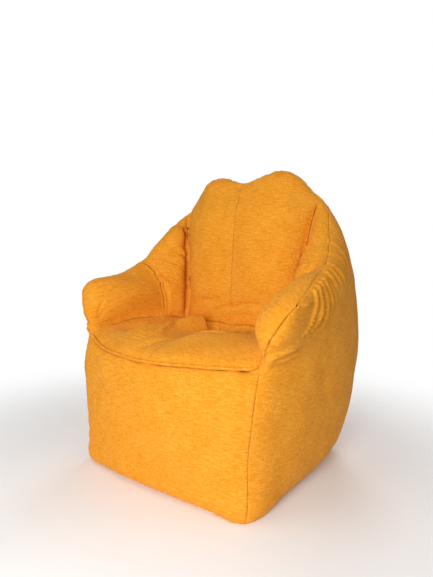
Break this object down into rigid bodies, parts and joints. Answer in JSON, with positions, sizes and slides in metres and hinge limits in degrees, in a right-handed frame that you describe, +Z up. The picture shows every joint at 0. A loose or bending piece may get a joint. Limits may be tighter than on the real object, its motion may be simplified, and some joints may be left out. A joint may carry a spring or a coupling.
{
  "type": "bean bag armchair",
  "caption": "Soft bean bag armchair: a sewn cloth cover with arms, a scooped seat and a tall back over a zipped liner of loose beads.",
  "frame": {"origin": "middle of the base, on the floor", "axes": "+Z up, the sitter faces -Y, +X is the sitter's left"},
  "size_m": [0.7762, 0.6908, 0.9185],
  "materials": {
    "cover_cloth": "mustard yellow woven upholstery cloth",
    "liner_cloth": "plain off-white woven liner",
    "beads": "loose expanded polystyrene beads",
    "zip_tape": "woven zip tape, matched to the cover",
    "zip_coil": "nylon coil",
    "zip_metal": "plain zinc"
  },
  "bodies": {
    "chair": {"arm_front_panel_left": "cover_cloth", "arm_front_panel_right": "cover_cloth", "arm_rear_panel_left": "cover_cloth", "arm_rear_panel_right": "cover_cloth", "back_panel_left": "cover_cloth", "back_panel_right": "cover_cloth", "base_panel": "cover_cloth", "bead_fill": "beads", "cover_zip_coil_lower": "zip_coil", "cover_zip_coil_upper": "zip_coil", "cover_zip_stop_closed": "zip_metal", "cover_zip_stop_open": "zip_metal", "cover_zip_tape_lower": "zip_tape", "cover_zip_tape_upper": "zip_tape", "front_panel": "cover_cloth", "inner_liner": "liner_cloth", "liner_zip_coil_lower": "zip_coil", "liner_zip_coil_upper": "zip_coil", "liner_zip_stop_closed": "zip_metal", "liner_zip_stop_open": "zip_metal", "liner_zip_tape_lower": "zip_tape", "liner_zip_tape_upper": "zip_tape", "rear_panel": "cover_cloth", "seat_front_piping": "cover_cloth", "seat_panel_left": "cover_cloth", "seat_panel_right": "cover_cloth", "side_panel_left": "cover_cloth", "side_panel_right": "cover_cloth"},
    "cover_slider": {"cover_zip_slider": "zip_metal"},
    "cover_pull": {"cover_zip_pull": "zip_metal"},
    "liner_slider": {"liner_zip_slider": "zip_metal"}
  },
  "joints": [
    {"name": "cover_zip_travel", "type": "slide", "parent": "chair", "child": "cover_slider", "axis": [-1, 0, 0], "range_m": [0, 0.388]},
    {"name": "cover_pull_swing", "type": "hinge", "parent": "cover_slider", "child": "cover_pull", "pos_m": [0.1945, 0.30032, 0.06096], "axis": [0, 0.3746, 0.9272], "range_deg": [0, 170]},
    {"name": "liner_zip_travel", "type": "slide", "parent": "chair", "child": "liner_slider", "axis": [1, 0, 0], "range_m": [0, 0.358]}
  ]
}
